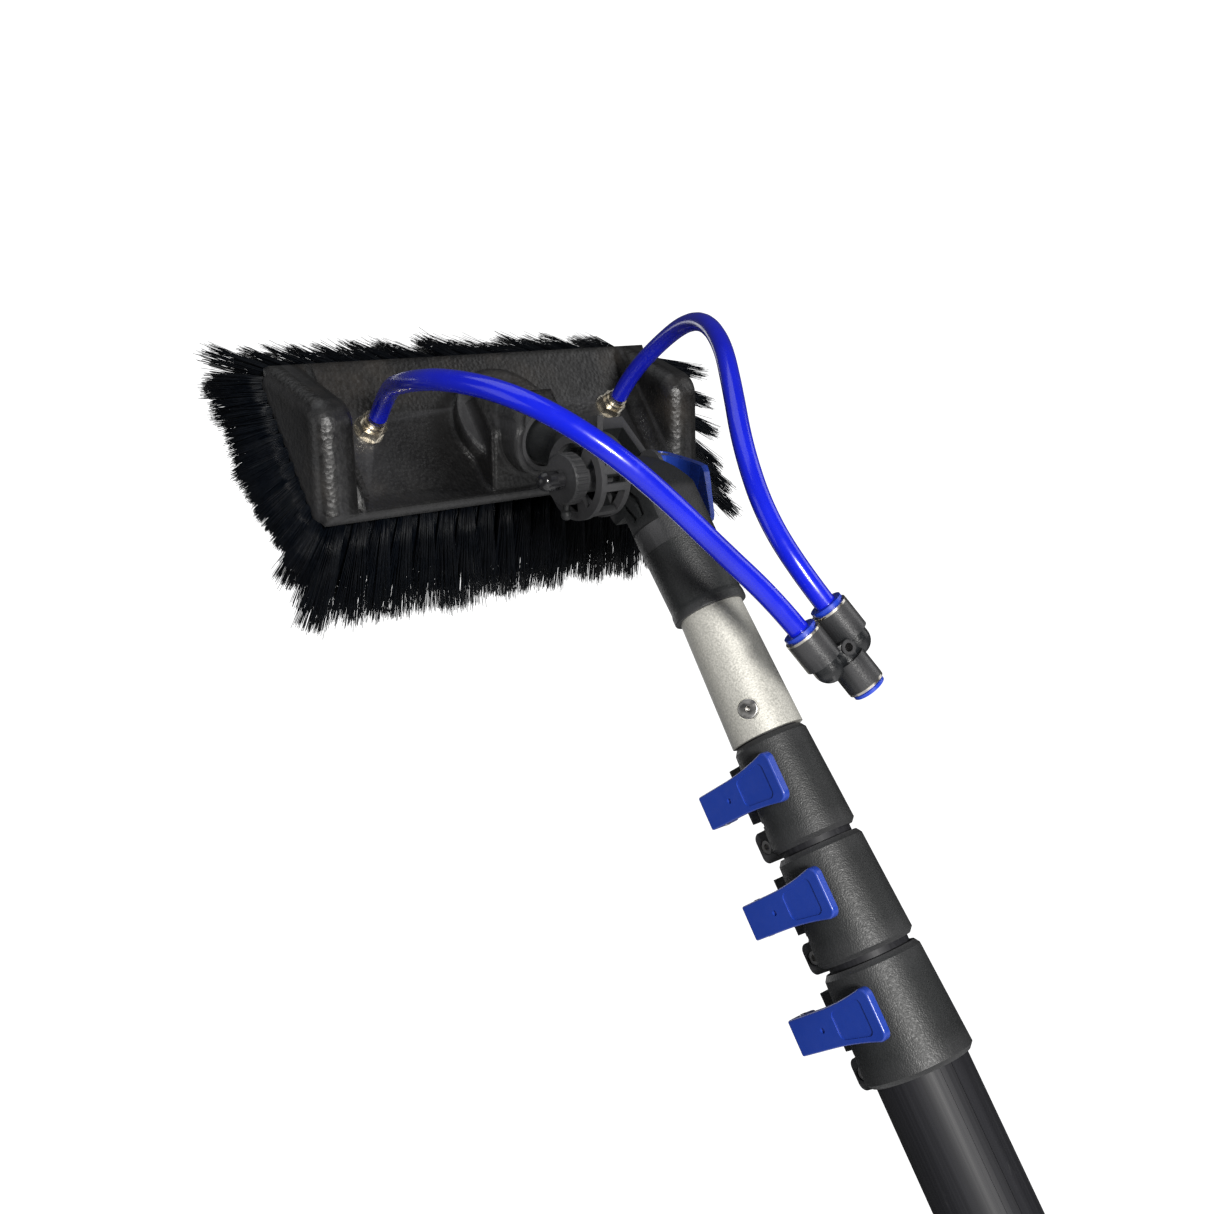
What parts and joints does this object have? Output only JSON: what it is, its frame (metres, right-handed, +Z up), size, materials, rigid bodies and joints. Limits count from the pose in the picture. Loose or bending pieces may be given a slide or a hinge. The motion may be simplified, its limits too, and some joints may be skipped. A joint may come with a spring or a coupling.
{
  "type": "telescopic window cleaning pole with brush",
  "caption": "Telescopic water-fed window cleaning pole with cam clamps, a tilting cone-socket head, a flared brush and a push-fit water tee.",
  "frame": {"origin": "centre of the pole's bottom end, on the underside of its rubber cap", "axes": "+Z up along the pole, +X along the brush block, +Y towards the side that the bristles face"},
  "size_m": [0.272, 0.1941, 1.391],
  "materials": {
    "black_tube": "satin black anodised aluminium",
    "clamp_plastic": "grained glass-filled nylon",
    "head_plastic": "fine-grained glass-filled nylon",
    "block_plastic": "textured moulded polypropylene",
    "tee_plastic": "lightly polished moulding",
    "black_gloss": "smooth black",
    "lever_blue": "satin royal blue",
    "hose_blue": "glossy ultramarine polyurethane",
    "collet_blue": "satin bright blue acetal",
    "silver_sleeve": "bead-blasted and anodised",
    "steel": "turned",
    "nickel": "nickel plate on brass",
    "nylon": "natural nylon",
    "rubber": "matt",
    "bristle": "flagged polyester filament"
  },
  "bodies": {
    "outer_section": {"pole_section_4": "black_tube", "base_cap": "rubber", "clamp_3_body": "clamp_plastic", "clamp_3_liner": "nylon", "clamp_3_eye_bolt": "steel", "clamp_3_nut": "steel", "clamp_3_cam_pad": "nylon", "clamp_3_lug_screw": "steel"},
    "section_3": {"pole_section_3": "black_tube", "guide_bush_3": "nylon", "clamp_2_body": "clamp_plastic", "clamp_2_liner": "nylon", "clamp_2_eye_bolt": "steel", "clamp_2_nut": "steel", "clamp_2_cam_pad": "nylon", "clamp_2_lug_screw": "steel"},
    "section_2": {"pole_section_2": "black_tube", "guide_bush_2": "nylon", "clamp_1_body": "clamp_plastic", "clamp_1_liner": "nylon", "clamp_1_eye_bolt": "steel", "clamp_1_nut": "steel", "clamp_1_cam_pad": "nylon", "clamp_1_lug_screw": "steel"},
    "section_1": {"pole_section_1": "black_tube", "guide_bush_1": "nylon", "head_sleeve": "silver_sleeve", "sleeve_rivet": "steel", "head_cone_knuckle": "head_plastic", "cross_bolt": "black_gloss", "barrel_nut": "steel", "cam_washer": "head_plastic"},
    "lever_3": {"clamp_3_lever": "lever_blue", "clamp_3_lever_pin": "steel"},
    "lever_2": {"clamp_2_lever": "lever_blue", "clamp_2_lever_pin": "steel"},
    "lever_1": {"clamp_1_lever": "lever_blue", "clamp_1_lever_pin": "steel"},
    "tilt_lever": {"cam_lever": "lever_blue"},
    "adjuster": {"adjusting_nut": "head_plastic"},
    "brush": {"head_yoke": "head_plastic", "hub_insert": "head_plastic", "brush_block": "block_plastic", "bristles_top": "bristle", "bristles_bottom": "bristle", "bristles_middle": "bristle", "bristles_left_end": "bristle", "bristles_right_end": "bristle", "jet_fitting_left": "nickel", "jet_fitting_right": "nickel", "jet_nozzle_left": "head_plastic", "jet_nozzle_right": "head_plastic", "hose_left": "hose_blue", "hose_right": "hose_blue", "tee_body": "tee_plastic", "tee_retaining_rings": "nickel", "tee_seals": "rubber"},
    "collet_left": {"tee_collet_left": "collet_blue"},
    "collet_right": {"tee_collet_right": "collet_blue"},
    "collet_supply": {"tee_collet_supply": "collet_blue"}
  },
  "joints": [
    {"name": "extend_3", "type": "slide", "parent": "outer_section", "child": "section_3", "axis": [0, 0, 1], "range_m": [0, 0.85]},
    {"name": "extend_2", "type": "slide", "parent": "section_3", "child": "section_2", "axis": [0, 0, 1], "range_m": [0, 0.85]},
    {"name": "extend_1", "type": "slide", "parent": "section_2", "child": "section_1", "axis": [0, 0, 1], "range_m": [0, 0.85]},
    {"name": "lever_3_hinge", "type": "hinge", "parent": "outer_section", "child": "lever_3", "pos_m": [-0.01982, 0.0252, 1.0257], "axis": [0, 0, -1], "range_deg": [0, 90]},
    {"name": "lever_2_hinge", "type": "hinge", "parent": "section_3", "child": "lever_2", "pos_m": [-0.01777, 0.0252, 1.0705], "axis": [0, 0, -1], "range_deg": [0, 90]},
    {"name": "lever_1_hinge", "type": "hinge", "parent": "section_2", "child": "lever_1", "pos_m": [-0.01559, 0.0252, 1.1153], "axis": [0, 0, -1], "range_deg": [0, 90]},
    {"name": "brush_tilt", "type": "hinge", "parent": "section_1", "child": "brush", "pos_m": [0, 0.01, 1.2575], "axis": [1, 0, 0], "range_deg": [-65, 10]},
    {"name": "cam_lever_hinge", "type": "hinge", "parent": "section_1", "child": "tilt_lever", "pos_m": [0.01905, 0.01, 1.2575], "axis": [0, -0.7071, 0.7071], "range_deg": [0, 95]},
    {"name": "adjuster_spin", "type": "hinge", "parent": "section_1", "child": "adjuster", "pos_m": [-0.032, 0.01, 1.2575], "axis": [1, 0, 0], "continuous": true},
    {"name": "collet_left_press", "type": "slide", "parent": "brush", "child": "collet_left", "axis": [0.4518, 0.115, -0.8847], "range_m": [0, 0.0006], "stiffness_N_per_m": 400},
    {"name": "collet_right_press", "type": "slide", "parent": "brush", "child": "collet_right", "axis": [0.4518, 0.115, -0.8847], "range_m": [0, 0.0006], "stiffness_N_per_m": 400},
    {"name": "collet_supply_press", "type": "slide", "parent": "brush", "child": "collet_supply", "axis": [-0.4518, -0.115, 0.8847], "range_m": [0, 0.0006], "stiffness_N_per_m": 400}
  ]
}
